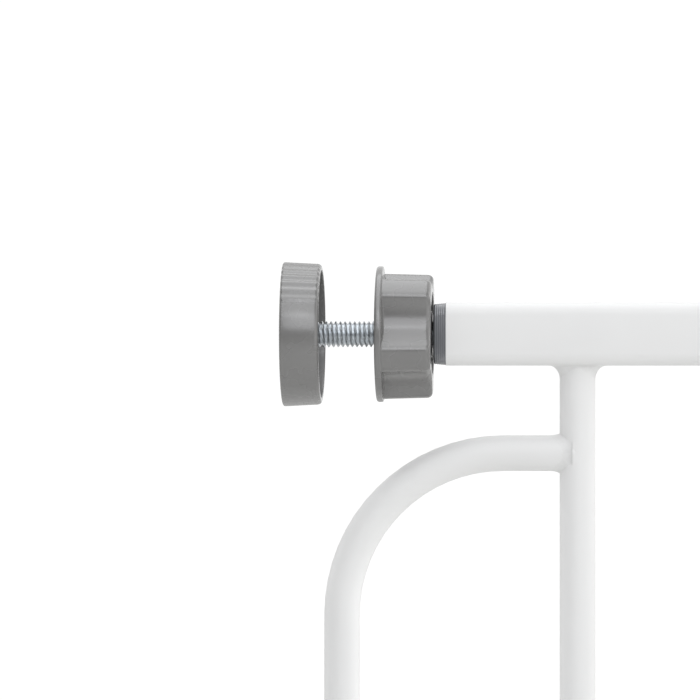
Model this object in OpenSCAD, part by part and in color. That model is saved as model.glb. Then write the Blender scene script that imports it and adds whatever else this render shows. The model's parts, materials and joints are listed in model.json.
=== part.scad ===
// Pressure-mounted safety gate with a swinging door, clamped between two walls.
// +X runs along the gate to the right, +Y away from the viewer, +Z up.
// The origin is on the floor, midway between the walls and midway through the gate's depth.

/* [Opening] */
// Distance between the two walls
opening_w = 780; // [780:5:820]
// Height of the upper clamping axis above the floor
upper_z = 740; // [700:5:780]

/* [Tubes and bars] */
// Side of the square frame tube
tube = 19; // [18.5:0.1:19.5]
// Wall of the square frame tube
tube_wall = 1.2; // [1:0.1:1.4]
// Corner radius of the square frame tube
tube_r = 3.8; // [3:0.1:4.5]
// Outer diameter of the round bars
bar_d = 10.8; // [10:0.1:11.5]
// Wall of the round bars
bar_wall = 1; // [0.8:0.1:1.2]
// Distance from the rail's end to the side bar's centre
side_bar_in = 39.4; // [38:0.1:42]
// Distance from the side bar to the curved bar's upright run
curve_out = 71.1; // [68:0.1:72]
// Distance from a rail's centre to the curved bar's level run
curve_drop = 35.9; // [34:0.1:38]
// Bend radius of the curved bars, at their centreline
bend_r = 48.8; // [45:0.1:50]

/* [Clamps] */
// Major diameter of the spindle's thread
spindle_d = 7.94; // [7.8:0.01:8]
// Length of the spindle
spindle_len = 99; // [95:1:104]
// Radius of the wall cup at its back
cup_r = 21.85; // [21.5:0.05:22]
// Depth of the wall cup
cup_depth = 11.7; // [11:0.1:12]
// Radius over the hand nut's lobes
nut_r = 19.6; // [19:0.1:19.8]
// Number of lobes on the hand nut
nut_lobes = 5; // [5:1:6]
// Length of the hand nut without its flange
nut_body_len = 14.3; // [13:0.1:15]

/* [Door] */
// Distance from the gate's middle to each post's centre
post_x = 240.5; // [238:0.5:242]
// Distance from the hinge post's inner face to the hinge axis
hinge_gap = 14.5; // [14:0.5:15]
// Clear gap between the latch stile and the latch post
latch_gap = 8; // [7.5:0.5:8.5]
// Height of the door's lowest tube face above the floor
door_bottom_z = 44; // [44:1:46]
// How far the latch bolt travels
bolt_travel = 12; // [10:0.5:12]

/* [Hidden] */
corners = ["upper_left", "upper_right", "lower_left", "lower_right"];
door_bars = 6;

$fn = 64;
arc_steps = 8;
cut = 1;
white = [0.93, 0.93, 0.92];
grey = [0.5, 0.5, 0.5];
dark_grey = [0.4, 0.41, 0.43];
zinc = [0.72, 0.73, 0.74];
rubber_black = [0.12, 0.12, 0.12];

// Heights and lengths of the frame
half_tube = tube / 2;
bar_r = bar_d / 2;
lower_z = cup_r;
wall_gap = 49.5;
rail_end = opening_w / 2 - wall_gap;
post_out = post_x + half_tube;
post_in = post_x - half_tube;
rail_top = upper_z + half_tube;
rail_under = upper_z - half_tube;
sill_top = lower_z + half_tube;
side_x = rail_end - side_bar_in;

// Weld beads: round an upright bar on a tube's face, and round a curved bar's end
weld_r = 9;
weld_h = 4.3;
weld_flat = 5.8;
tee_weld_r = 6.5;
tee_weld_len = 4;

// Clamp parts, measured outwards from the rail's end
plug_flange = 3.8;
plug_side = tube - 0.2;
shank_side = tube - 2 * tube_wall - 0.2;
plug_shank = 22;
plug_bore_r = spindle_d / 2 + 0.25;
nut_start = plug_flange + 0.5;
nut_flange = 2.5;
nut_flange_cone = 0.75;
nut_flange_r = nut_r + 0.9;
nut_bore_r = spindle_d / 2 + 0.06;
nut_recess_r = nut_r - 6.3;
nut_recess = 9;
nut_hub_r = 7;
nut_rib = 1.6;
scallop_r = 13.1;
scallop_at = nut_r + 8.6;
first_lobe = -24.1;
cup_back = wall_gap;
cup_rim = cup_back - cup_depth;
cup_floor = 3;
cup_wall = 2;
cup_draft = 0.6;
screw_hole_r = 2.3;
countersink_r = 3.9;
foot_r = 17.2;
foot_len = 4.8;
foot_gap = 0.2;
spindle_tip = cup_back - cup_floor - 1.5;

// Door
hinge_x = -post_in + hinge_gap;
hinge_in = hinge_x + half_tube;
latch_out = post_in - latch_gap;
latch_in = latch_out - tube;
latch_x = latch_out - half_tube;
door_sill_z = door_bottom_z + half_tube;
bar_pitch = (latch_in - hinge_in) / (door_bars + 1);
pin_r = 4;
pin_play = 0.05;
pin_head_r = pin_r + 2.5;
pin_head_bevel = 0.7;
bush_flange = 2;
bracket_gap = 0.8;
arm_len = 5;
arm_z = rail_top + bush_flange + bracket_gap;
boss_top = door_bottom_z - bush_flange - 0.2;
base_t = 3;
screw_r = 2;
screw_head_r = 3.6;
screw_head = 2.2;
bracket_screw_z = rail_top - 8;
lower_screw_x = hinge_x + 15.5;

// Latch, measured along X from the latch stile's outer face
housing_x0 = latch_out - 103;
housing_x1 = latch_out + 2.5;
housing_z0 = rail_under - 4.5;
housing_z1 = rail_top + 26.5;
housing_y = 13.5;
housing_r = 6;
fit_gap = 0.1;
bar_notch_r = weld_r + 0.6;
room_y = 11;
room_x0 = housing_x0 + 2.5;
room_x1 = latch_out;
room_z0 = rail_top + fit_gap;
room_z1 = housing_z1 - 2.5;
bolt_x0 = latch_out - 61;
bolt_x1 = latch_out + 1.5;
bolt_z = rail_top + 11.5;
bolt_w = 10;
bolt_play = 0.15;
guide_x = [bolt_x0 + 4, latch_out - 9];
guide_len = 8;
neck_x = bolt_x0 + 17;
neck_len = 8;
neck_w = 6;
slider_len = 32;
slider_x = neck_x - 8;
slider_w = 16;
slider_t = 4.5;
button_x = housing_x0 + 14;
button_len = 16;
button_w = 12;
button_travel = 3;
button_rise = button_travel + 0.5;
button_lip = 2.6;
groove_pitch = 3;
groove_w = 1.4;
groove_depth = 0.8;
spring_wall_x = bolt_x0 - 16;
spring_wire = 0.9;
spring_r = 3.6;
housing_screw_x = [housing_x0 + 30, housing_x0 + 65];
strike_x0 = post_in - 1.5;
strike_x1 = post_out + 2;
strike_y = 10.5;
strike_z1 = rail_top + 23;
pocket_play = 0.6;

// Door stop on the far side of the bottom rail
stop_x0 = 170;
stop_len = 40;
stop_plate = 2.2;
stop_axis_y = 15.2;
stop_axis_z = lower_z + 4;
stop_knuckle_r = 3;
stop_knuckle_len = 8;
stop_pin_r = 1.5;
stop_flap_t = 2.6;
stop_flap_h = 21;
stop_screw_x = [stop_x0 + 13, stop_x0 + stop_len - 13];
stop_screw_z = lower_z - 3;

function is_left(name) = name == "upper_left" || name == "lower_left";
function is_upper(name) = name == "upper_left" || name == "upper_right";

// Square with round corners, centred
module rounded_square(side, r) {
    reach = side / 2 - r;
    centres = [[1, 1], [-1, 1], [-1, -1], [1, -1]];
    polygon([
        for (q = [0:3], k = [0:arc_steps])
            let (a = 90 * (q + k / arc_steps))
            centres[q] * reach + r * [cos(a), sin(a)]
    ]);
}

// Rectangle with round corners, from one corner to the opposite one
module rounded_rect(low, high, r) {
    mid = (low + high) / 2;
    reach = (high - low) / 2 - [r, r];
    signs = [[1, 1], [-1, 1], [-1, -1], [1, -1]];
    polygon([
        for (q = [0:3], k = [0:arc_steps])
            let (a = 90 * (q + k / arc_steps))
            mid + [signs[q][0] * reach[0], signs[q][1] * reach[1]] + r * [cos(a), sin(a)]
    ]);
}

// Axis-aligned block from its lowest corner to its highest
module block(low, high) {
    translate(low) cube(high - low);
}

module tube_section() {
    difference() {
        rounded_square(tube, tube_r);
        rounded_square(tube - 2 * tube_wall, tube_r - tube_wall);
    }
}

module tube_along_x(x0, x1, z) {
    translate([x0, 0, z]) rotate([0, 90, 0]) linear_extrude(x1 - x0) tube_section();
}

module tube_along_z(x, z0, z1) {
    translate([x, 0, z0]) linear_extrude(z1 - z0) tube_section();
}

module upright_bar(x, z0, z1) {
    translate([x, 0, z0]) difference() {
        cylinder(h = z1 - z0, r = bar_r);
        translate([0, 0, -cut]) cylinder(h = z1 - z0 + 2 * cut, r = bar_r - bar_wall);
    }
}

// Cylinder along Y from y0 to y1
module rod_y(x, z, r, y0, y1) {
    translate([x, y0, z]) rotate([-90, 0, 0]) cylinder(h = y1 - y0, r = r);
}

// Cylinder along X from x0 to x1
module rod_x(y, z, r, x0, x1) {
    translate([x0, y, z]) rotate([0, 90, 0]) cylinder(h = x1 - x0, r = r);
}

// Places a clamp part drawn with the rail's end at the origin and the wall towards -X
module at_corner(name) {
    z = is_upper(name) ? upper_z : lower_z;
    x = is_left(name) ? -rail_end : rail_end;
    translate([x, 0, z]) rotate([0, 0, is_left(name) ? 0 : 180]) children();
}

// Turns a profile of (radius, distance outwards) points about the clamp's axis
module turned_outwards() {
    rotate([0, -90, 0]) rotate_extrude() children();
}

// ---------- Welded frame ----------

module bottom_rail() {
    color(white) difference() {
        tube_along_x(-rail_end, rail_end, lower_z);
        translate([lower_screw_x, 0, lower_z]) cylinder(h = tube, r = screw_r);
        for (x = stop_screw_x) rod_y(x, stop_screw_z, screw_r, 0, tube);
    }
}

module upper_rail_left() {
    color(white) tube_along_x(-rail_end, -post_out, upper_z);
}

module upper_rail_right() {
    color(white) tube_along_x(post_out, rail_end, upper_z);
}

module post(x) {
    difference() {
        tube_along_z(x, sill_top, rail_top);
        rod_y(x, bracket_screw_z, screw_r, -tube, 0);
    }
}

module hinge_post() {
    color(white) post(-post_x);
}

module latch_post() {
    color(white) post(post_x);
}

module side_bar_left() {
    color(white) upright_bar(-side_x, sill_top, rail_under);
}

module side_bar_right() {
    color(white) upright_bar(side_x, sill_top, rail_under);
}

// Path of the left curved bar, swept with a given radius
module curve_sweep(r) {
    x_run = -side_x - curve_out;
    x_bend = x_run + bend_r;
    z_top = upper_z - curve_drop;
    z_low = lower_z + curve_drop;
    rod_x(0, z_top, r, x_bend, -side_x);
    rod_x(0, z_low, r, x_bend, -side_x);
    translate([x_run, 0, z_low + bend_r]) cylinder(h = z_top - z_low - 2 * bend_r, r = r);
    translate([x_bend, 0, z_top - bend_r]) rotate([90, 0, 0])
        rotate_extrude(angle = 90, start = 90) translate([bend_r, 0]) circle(r = r);
    translate([x_bend, 0, z_low + bend_r]) rotate([90, 0, 0])
        rotate_extrude(angle = 90, start = 180) translate([bend_r, 0]) circle(r = r);
}

module curved_bar() {
    difference() {
        curve_sweep(bar_r);
        curve_sweep(bar_r - bar_wall);
        translate([-side_x, 0, 0]) cylinder(h = upper_z, r = bar_r);
    }
}

module curved_bar_left() {
    color(white) curved_bar();
}

module curved_bar_right() {
    color(white) mirror([1, 0, 0]) curved_bar();
}

// Concave fillet of weld round an upright bar where it meets a tube's flat face
module bar_weld(x, z, up) {
    translate([x, 0, z]) mirror([0, 0, up ? 0 : 1]) intersection() {
        rotate_extrude() polygon(concat(
            [[bar_r, 0], [weld_r, 0]],
            [for (k = [1:arc_steps]) let (a = 90 - 90 * k / arc_steps)
                [weld_r - (weld_r - bar_r) * cos(a), weld_h - weld_h * sin(a)]]
        ));
        translate([-weld_r, -weld_flat, 0]) cube([2 * weld_r, 2 * weld_flat, weld_h]);
    }
}

// Bead round the curved bar's end where it meets the side bar
module tee_weld(z) {
    difference() {
        translate([-side_x, 0, z]) turned_outwards() polygon([
            [bar_r, bar_r / 3],
            [tee_weld_r, bar_r / 3],
            [tee_weld_r, bar_r + 1],
            [tee_weld_r - 0.4, bar_r + 2],
            [bar_r, bar_r + tee_weld_len]
        ]);
        translate([-side_x, 0, z - tube]) cylinder(h = 2 * tube, r = bar_r);
    }
}

module frame_welds() {
    color(white) for (side = [0, 1]) mirror([side, 0, 0]) {
        bar_weld(-side_x, sill_top, true);
        bar_weld(-side_x, rail_under, false);
        tee_weld(upper_z - curve_drop);
        tee_weld(lower_z + curve_drop);
    }
}

// ---------- Clamps at the four corners ----------

module end_plug(name) {
    color(dark_grey) at_corner(name) difference() {
        union() {
            translate([-plug_flange, 0, 0]) rotate([0, 90, 0])
                linear_extrude(plug_flange) rounded_square(plug_side, tube_r);
            rotate([0, 90, 0]) linear_extrude(plug_shank)
                rounded_square(shank_side, tube_r - tube_wall);
        }
        rod_x(0, 0, plug_bore_r, -plug_flange - cut, plug_shank + cut);
    }
}

module nut_outline() {
    difference() {
        circle(r = nut_r);
        for (k = [0:nut_lobes - 1])
            rotate(270 - first_lobe - 180 / nut_lobes - 360 * k / nut_lobes)
                translate([scallop_at, 0]) circle(r = scallop_r);
    }
}

module hand_nut(name) {
    body_end = nut_start + nut_body_len;
    color(grey) at_corner(name) difference() {
        union() {
            translate([-body_end - nut_flange_cone, 0, 0]) rotate([0, 90, 0])
                linear_extrude(nut_body_len + nut_flange_cone) nut_outline();
            turned_outwards() polygon([
                [0, body_end],
                [nut_r - 4, body_end],
                [nut_flange_r, body_end + nut_flange_cone],
                [nut_flange_r, body_end + nut_flange],
                [0, body_end + nut_flange]
            ]);
        }
        difference() {
            rod_x(0, 0, nut_recess_r, -nut_start - nut_recess, -nut_start + cut);
            rod_x(0, 0, nut_hub_r, -body_end, 0);
            for (k = [0:nut_lobes - 1]) rotate([180 - first_lobe + 360 * k / nut_lobes, 0, 0])
                translate([-body_end, 0, -nut_rib / 2]) cube([body_end, nut_r, nut_rib]);
        }
        rod_x(0, 0, nut_bore_r, -body_end - nut_flange - cut, 0);
    }
}

module spindle(name) {
    r = spindle_d / 2;
    bevel = 0.8;
    color(zinc) at_corner(name) turned_outwards() polygon([
        [0, spindle_tip - spindle_len],
        [r - bevel, spindle_tip - spindle_len],
        [r, spindle_tip - spindle_len + bevel],
        [r, spindle_tip],
        [0, spindle_tip]
    ]);
}

module spindle_foot(name) {
    back = cup_back - cup_floor - foot_gap;
    front = back - foot_len;
    color(rubber_black) at_corner(name) turned_outwards() polygon([
        [0, spindle_tip],
        [spindle_d / 2, spindle_tip],
        [spindle_d / 2, front - 1.2],
        [6, front - 1.2],
        [7, front],
        [foot_r - 1, front],
        [foot_r, front + 1],
        [foot_r, back],
        [0, back]
    ]);
}

module wall_cup(name) {
    floor_in = cup_back - cup_floor;
    sink = countersink_r - screw_hole_r;
    color(grey) at_corner(name) turned_outwards() polygon([
        [screw_hole_r, cup_back],
        [screw_hole_r, floor_in + sink],
        [countersink_r, floor_in],
        [cup_r - cup_wall - 0.2, floor_in],
        [cup_r - cup_draft - cup_wall, cup_rim],
        [cup_r - cup_draft, cup_rim],
        [cup_r, cup_back - 0.8],
        [cup_r - 0.8, cup_back]
    ]);
}

// ---------- Hinges and strike on the frame ----------

module upper_hinge_bracket() {
    color(grey) difference() {
        union() {
            translate([-post_x, 0, rail_top]) linear_extrude(arm_z + arm_len - rail_top)
                rounded_square(tube, tube_r);
            translate([-post_x, 0, rail_top - 14]) linear_extrude(14)
                rounded_square(shank_side, tube_r - tube_wall);
            block([-post_x, -half_tube, arm_z], [hinge_x, half_tube, arm_z + arm_len]);
            translate([hinge_x, 0, arm_z]) cylinder(h = arm_len, r = half_tube);
        }
        translate([hinge_x, 0, arm_z - cut]) cylinder(h = arm_len + 2 * cut, r = pin_r);
        rod_y(-post_x, bracket_screw_z, screw_r, -tube, 0);
    }
}

module lower_hinge_bracket() {
    x1 = lower_screw_x + 6;
    color(grey) difference() {
        union() {
            translate([0, 0, sill_top]) linear_extrude(base_t)
                rounded_rect([-post_in, -half_tube], [x1, half_tube], 2.5);
            translate([hinge_x, 0, sill_top]) cylinder(h = boss_top - sill_top, r = half_tube - 0.5);
        }
        translate([hinge_x, 0, sill_top + 1]) cylinder(h = tube, r = pin_r);
        translate([lower_screw_x, 0, sill_top - cut]) cylinder(h = tube, r = screw_r);
    }
}

module hinge_pins() {
    color(zinc) {
        translate([hinge_x, 0, rail_top - 18]) cylinder(h = arm_z + arm_len - rail_top + 18, r = pin_r);
        translate([hinge_x, 0, arm_z + arm_len]) cylinder(h = 1.5, r = pin_head_r);
        translate([hinge_x, 0, arm_z + arm_len + 1.5])
            cylinder(h = pin_head_bevel, r1 = pin_head_r, r2 = pin_head_r - pin_head_bevel);
        translate([hinge_x, 0, sill_top + 1]) cylinder(h = door_bottom_z - sill_top + 15, r = pin_r);
    }
}

module strike_housing() {
    pocket_half = bolt_w / 2 + pocket_play;
    pocket_len = bolt_travel + 4;
    color(grey) difference() {
        union() {
            block([strike_x0, -strike_y, rail_top], [strike_x1, strike_y, strike_z1]);
            translate([post_x, 0, rail_top - 14]) linear_extrude(14)
                rounded_square(shank_side, tube_r - tube_wall);
        }
        block(
            [strike_x0 - cut, -pocket_half, bolt_z - pocket_half],
            [strike_x0 + pocket_len, pocket_half, bolt_z + pocket_half]
        );
        rod_y(post_x, bracket_screw_z, screw_r, -tube, 0);
    }
}

module bracket_screws() {
    head = screw_head;
    color(zinc) {
        for (x = [-post_x, post_x]) {
            rod_y(x, bracket_screw_z, screw_r, -half_tube, -1);
            rod_y(x, bracket_screw_z, screw_head_r, -half_tube - head, -half_tube);
        }
        translate([lower_screw_x, 0, sill_top - 5]) cylinder(h = 5 + base_t, r = screw_r);
        translate([lower_screw_x, 0, sill_top + base_t]) cylinder(h = head, r = screw_head_r);
        for (x = stop_screw_x) {
            rod_y(x, stop_screw_z, screw_r, half_tube - 5, half_tube + stop_plate);
            rod_y(x, stop_screw_z, screw_head_r, half_tube + stop_plate, half_tube + stop_plate + 1.6);
        }
    }
}

// ---------- Door stop ----------

module door_stop_bracket() {
    x1 = stop_x0 + stop_len;
    knuckles = [stop_x0, x1 - stop_knuckle_len];
    color(grey) difference() {
        union() {
            block(
                [stop_x0, half_tube, stop_screw_z - 5],
                [x1, half_tube + stop_plate, stop_axis_z + stop_knuckle_r]
            );
            for (x = knuckles) {
                rod_x(stop_axis_y, stop_axis_z, stop_knuckle_r, x, x + stop_knuckle_len);
                block(
                    [x, half_tube, stop_axis_z - stop_knuckle_r],
                    [x + stop_knuckle_len, stop_axis_y, stop_axis_z + stop_knuckle_r]
                );
            }
        }
        rod_x(stop_axis_y, stop_axis_z, stop_pin_r, stop_x0 - cut, x1 + cut);
        for (x = stop_screw_x) rod_y(x, stop_screw_z, screw_r, 0, tube);
    }
}

module door_stop_pin() {
    color(zinc) rod_x(stop_axis_y, stop_axis_z, stop_pin_r, stop_x0, stop_x0 + stop_len);
}

module door_stop_flap() {
    x0 = stop_x0 + stop_knuckle_len + 0.4;
    x1 = stop_x0 + stop_len - stop_knuckle_len - 0.4;
    half_t = stop_flap_t / 2;
    color(grey) difference() {
        union() {
            rod_x(stop_axis_y, stop_axis_z, stop_knuckle_r, x0, x1);
            translate([0, stop_axis_y + half_t, 0]) rotate([90, 0, 0]) linear_extrude(stop_flap_t)
                rounded_rect([x0, stop_axis_z - stop_flap_h], [x1, stop_axis_z], 3);
        }
        rod_x(stop_axis_y, stop_axis_z, stop_pin_r + pin_play, x0 - cut, x1 + cut);
    }
}

// ---------- Door ----------

module door_top_rail() {
    color(white) difference() {
        tube_along_x(hinge_in, latch_in, upper_z);
        for (x = housing_screw_x) rod_y(x, upper_z, screw_r + 0.1, -tube, tube);
    }
}

module door_bottom_rail() {
    color(white) tube_along_x(hinge_in, latch_in, door_sill_z);
}

module door_hinge_stile() {
    color(white) tube_along_z(hinge_x, door_bottom_z, rail_top);
}

module door_latch_stile() {
    color(white) tube_along_z(latch_x, door_bottom_z, rail_top);
}

module door_bar(i) {
    color(white) upright_bar(hinge_in + i * bar_pitch, door_bottom_z + tube, rail_under);
}

module door_welds() {
    color(white) for (i = [1:door_bars]) {
        bar_weld(hinge_in + i * bar_pitch, door_bottom_z + tube, true);
        bar_weld(hinge_in + i * bar_pitch, rail_under, false);
    }
}

// Bush that plugs a stile's end and turns on a hinge pin, with its flange at z = 0 going down
module stile_bush() {
    difference() {
        union() {
            translate([0, 0, -bush_flange]) linear_extrude(bush_flange) rounded_square(tube, tube_r);
            linear_extrude(20) rounded_square(shank_side, tube_r - tube_wall);
        }
        translate([0, 0, -bush_flange - cut]) cylinder(h = 20 + bush_flange + 2 * cut, r = pin_r + pin_play);
    }
}

module stile_bushes() {
    color(dark_grey) {
        translate([hinge_x, 0, door_bottom_z]) stile_bush();
        translate([hinge_x, 0, rail_top]) mirror([0, 0, 1]) stile_bush();
    }
}

module stile_end_cap() {
    color(dark_grey) translate([latch_x, 0, door_bottom_z]) {
        translate([0, 0, -bush_flange]) linear_extrude(bush_flange) rounded_square(tube, tube_r);
        linear_extrude(14) rounded_square(shank_side, tube_r - tube_wall);
    }
}

// ---------- Latch ----------

module latch_shell() {
    slot = bolt_w / 2 + bolt_play;
    tube_room = half_tube + fit_gap;
    difference() {
        translate([0, housing_y, 0]) rotate([90, 0, 0]) linear_extrude(2 * housing_y)
            rounded_rect([housing_x0, housing_z0], [housing_x1, housing_z1], housing_r);
        block(
            [housing_x0 - cut, -tube_room, rail_under - fit_gap],
            [latch_out + fit_gap, tube_room, room_z0]
        );
        block([latch_in - fit_gap, -tube_room, housing_z0 - cut], [latch_out + fit_gap, tube_room, room_z0]);
        translate([hinge_in + door_bars * bar_pitch, 0, housing_z0 - cut])
            cylinder(h = rail_under - housing_z0 + cut, r = bar_notch_r);
        difference() {
            block([room_x0, -room_y, room_z0], [room_x1, room_y, room_z1]);
            for (x = guide_x) block([x, -room_y, room_z0], [x + guide_len, room_y, room_z1]);
            block([spring_wall_x - 2, -room_y, room_z0], [spring_wall_x, room_y, room_z1]);
        }
        block([guide_x[0] - cut, -slot, bolt_z - slot], [housing_x1 + cut, slot, bolt_z + slot]);
        block(
            [neck_x - 0.5, -neck_w / 2 - 0.2, room_z1 - cut],
            [neck_x + neck_len + bolt_travel + 0.5, neck_w / 2 + 0.2, housing_z1 + cut]
        );
        block(
            [button_x - button_len / 2 - 0.2, -button_w / 2 - 0.2, room_z1 - cut],
            [button_x + button_len / 2 + 0.2, button_w / 2 + 0.2, housing_z1 + cut]
        );
    }
}

module latch_housing_front() {
    color(grey) difference() {
        intersection() {
            latch_shell();
            block([housing_x0, -housing_y, housing_z0], [housing_x1, 0, housing_z1]);
        }
        for (x = housing_screw_x) {
            rod_y(x, upper_z, screw_r + 0.1, -housing_y - cut, 0);
            rod_y(x, upper_z, screw_head_r + 0.2, -housing_y - cut, -housing_y + screw_head);
        }
    }
}

module latch_housing_rear() {
    color(grey) difference() {
        intersection() {
            latch_shell();
            block([housing_x0, 0, housing_z0], [housing_x1, housing_y, housing_z1]);
        }
        for (x = housing_screw_x) rod_y(x, upper_z, screw_r, 0, housing_y - 1);
    }
}

module housing_screws() {
    color(zinc) for (x = housing_screw_x) {
        rod_y(x, upper_z, screw_r, -housing_y + screw_head, housing_y - 1.5);
        rod_y(x, upper_z, screw_head_r, -housing_y + 0.2, -housing_y + screw_head);
    }
}

module latch_bolt() {
    half = bolt_w / 2;
    nose = 3;
    color(zinc) translate([0, 0, bolt_z - half]) linear_extrude(bolt_w) polygon([
        [bolt_x0, -half],
        [bolt_x1 - nose, -half],
        [bolt_x1, -half + nose],
        [bolt_x1, half - nose],
        [bolt_x1 - nose, half],
        [bolt_x0, half]
    ]);
}

// Cutters for finger grooves right across a pad of that width, from x0 to x1 in its top at z
module finger_grooves(x0, x1, width, z) {
    count = floor((x1 - x0) / groove_pitch);
    for (k = [0:count - 1])
        translate([x0 + (k + 0.5) * groove_pitch - groove_w / 2, -width / 2 - cut, z - groove_depth])
            cube([groove_w, width + 2 * cut, groove_depth + cut]);
}

module thumb_slider() {
    pad_z = housing_z1 + 0.3;
    color(dark_grey) difference() {
        union() {
            translate([0, 0, pad_z]) linear_extrude(slider_t)
                rounded_rect([slider_x, -slider_w / 2], [slider_x + slider_len, slider_w / 2], 4);
            block(
                [neck_x, -neck_w / 2, bolt_z + bolt_w / 2],
                [neck_x + neck_len, neck_w / 2, pad_z]
            );
        }
        finger_grooves(slider_x + 4, slider_x + slider_len - 4, slider_w, pad_z + slider_t);
    }
}

module release_button() {
    lip_z = room_z1 - 0.2;
    top_z = housing_z1 + button_rise;
    half = [button_len / 2, button_w / 2];
    color(dark_grey) difference() {
        union() {
            translate([button_x, 0, lip_z]) linear_extrude(top_z - lip_z) rounded_rect(-half, half, 2);
            block(
                [button_x - half[0] - 1.6, -half[1] - 1.6, lip_z - button_lip],
                [button_x + half[0] + 1.6, half[1] + 1.6, lip_z]
            );
        }
        finger_grooves(button_x - half[0] + 2, button_x + half[0] - 2, button_w, top_z);
    }
}

// Helical spring along +Z from the origin, swept as rings of points along the helix
module coil_spring(length, turns) {
    sides = 8;
    steps = 14 * turns;
    rise = length - spring_wire;
    w = spring_wire / 2;
    points = [
        for (i = [0:steps], j = [0:sides - 1])
            let (t = 360 * turns * i / steps, b = 360 * j / sides, q = spring_r + w * cos(b))
            [q * cos(t), q * sin(t), w + rise * i / steps + w * sin(b)]
    ];
    side_faces = [
        for (i = [0:steps - 1], j = [0:sides - 1])
            let (a = i * sides + j, b = i * sides + (j + 1) % sides)
            [a, a + sides, b + sides, b]
    ];
    first_end = [for (j = [0:sides - 1]) j];
    last_end = [for (j = [0:sides - 1]) steps * sides + sides - 1 - j];
    polyhedron(points, concat(side_faces, [first_end, last_end]));
}

module bolt_spring() {
    color(zinc) translate([spring_wall_x, 0, bolt_z]) rotate([0, 90, 0])
        coil_spring(bolt_x0 - spring_wall_x, 7);
}

module button_spring() {
    base_z = room_z0;
    color(zinc) translate([button_x, 0, base_z])
        coil_spring(room_z1 - 0.2 - button_lip - base_z, 7);
}

bottom_rail();
upper_rail_left();
upper_rail_right();
hinge_post();
latch_post();
side_bar_left();
side_bar_right();
curved_bar_left();
curved_bar_right();
frame_welds();
upper_hinge_bracket();
lower_hinge_bracket();
hinge_pins();
strike_housing();
bracket_screws();
door_stop_bracket();
door_stop_pin();
door_stop_flap();
door_top_rail();
door_bottom_rail();
door_hinge_stile();
door_latch_stile();
door_welds();
stile_bushes();
stile_end_cap();
latch_housing_front();
latch_housing_rear();
housing_screws();
latch_bolt();
thumb_slider();
bolt_spring();
release_button();
button_spring();
for (i = [1:door_bars]) door_bar(i);
for (c = corners) end_plug(c);
for (c = corners) hand_nut(c);
for (c = corners) spindle(c);
for (c = corners) spindle_foot(c);
for (c = corners) wall_cup(c);
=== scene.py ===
"""Looks of a pressure-mounted safety gate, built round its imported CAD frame.

Lengths inside the mesh functions are in millimetres, and make_piece() scales them to metres.
A clamp part is drawn with the rail's end at the origin and the wall towards -X, so "out" is -x,
and an angle round the clamp's axis is the elevation seen from the front: (y, z) = r (-cos, sin).
"""

import json
import math

import bmesh
import bpy
from mathutils import Matrix, Vector


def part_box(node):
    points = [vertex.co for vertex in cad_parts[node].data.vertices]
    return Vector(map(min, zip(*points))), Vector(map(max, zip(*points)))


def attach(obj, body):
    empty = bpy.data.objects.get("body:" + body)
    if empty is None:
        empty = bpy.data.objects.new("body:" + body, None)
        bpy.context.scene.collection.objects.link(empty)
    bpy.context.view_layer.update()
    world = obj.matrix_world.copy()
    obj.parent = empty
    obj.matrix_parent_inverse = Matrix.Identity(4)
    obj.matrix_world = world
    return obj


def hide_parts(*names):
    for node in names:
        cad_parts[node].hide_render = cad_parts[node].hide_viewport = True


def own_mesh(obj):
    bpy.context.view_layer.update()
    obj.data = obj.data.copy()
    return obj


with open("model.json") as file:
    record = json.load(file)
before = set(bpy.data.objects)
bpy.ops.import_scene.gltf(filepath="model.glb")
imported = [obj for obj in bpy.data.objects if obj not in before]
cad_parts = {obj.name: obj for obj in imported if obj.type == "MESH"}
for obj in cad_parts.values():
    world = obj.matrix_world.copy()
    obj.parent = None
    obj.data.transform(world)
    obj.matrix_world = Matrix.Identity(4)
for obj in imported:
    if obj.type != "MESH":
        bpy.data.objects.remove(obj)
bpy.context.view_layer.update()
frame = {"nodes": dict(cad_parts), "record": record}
nodes = frame["nodes"]

MM = 0.001
TAU = 2 * math.pi
QUARTER = math.pi / 2
IN_PLACE = Matrix.Identity(4)
CORNERS = ("upper_left", "upper_right", "lower_left", "lower_right")
RAIL_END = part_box("bottom_rail")[1].x


# ---------- Materials ----------

# Noise seldom leaves this range, so it is spread over the whole of what it drives.
NOISE_LOW = 0.3
NOISE_HIGH = 0.7


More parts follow.
